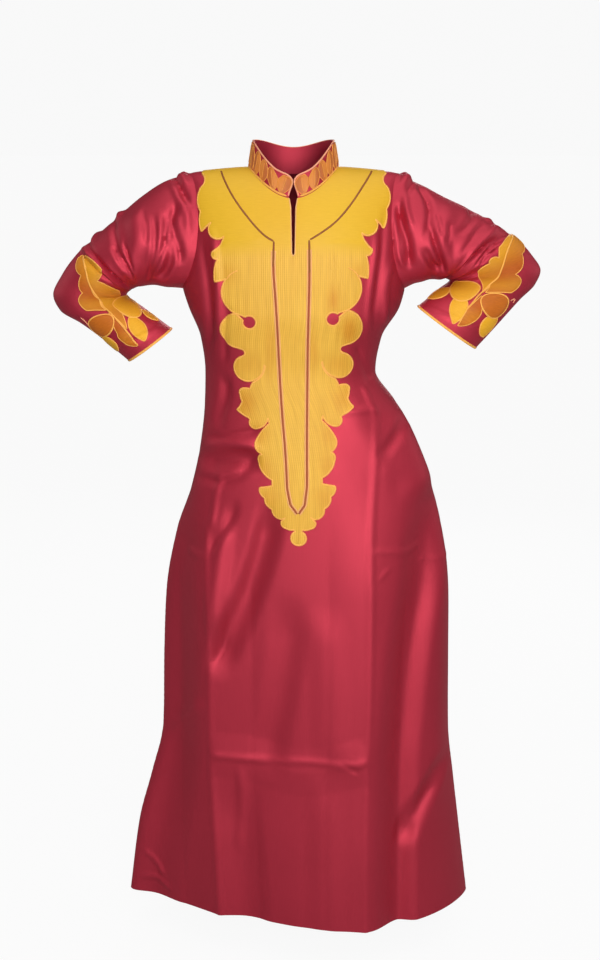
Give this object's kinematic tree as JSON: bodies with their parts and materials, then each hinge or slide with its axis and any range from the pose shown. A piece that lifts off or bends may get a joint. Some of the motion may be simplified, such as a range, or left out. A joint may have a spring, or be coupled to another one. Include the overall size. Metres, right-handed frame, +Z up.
{
  "type": "grand boubou",
  "caption": "Ankle-length satin gown in its worn, hollow shape: bent three-quarter sleeves, stand collar over a short neck slit, and a lobed embroidered chest panel.",
  "frame": {"origin": "centre of the neck, level with the points where shoulder seam and collar meet; the wearer's shoulders hold the gown here", "axes": "+X the viewer's right, +Y away from the viewer (the front faces -Y), +Z up along the gown"},
  "size_m": [0.8735, 0.3314, 1.446],
  "materials": {
    "satin": "crimson satin with a broad soft sheen",
    "embroidery_yellow": "dense yellow rayon chain stitch",
    "embroidery_orange": "orange rayon fill stitch with satin-stitched edges"
  },
  "bodies": {
    "root": {"front": "satin", "back": "satin", "sleeve_left": "satin", "sleeve_right": "satin", "collar": "embroidery_orange", "plastron": "embroidery_yellow", "sleeve_work_left": "embroidery_orange", "sleeve_work_right": "embroidery_orange"}
  },
  "joints": []
}
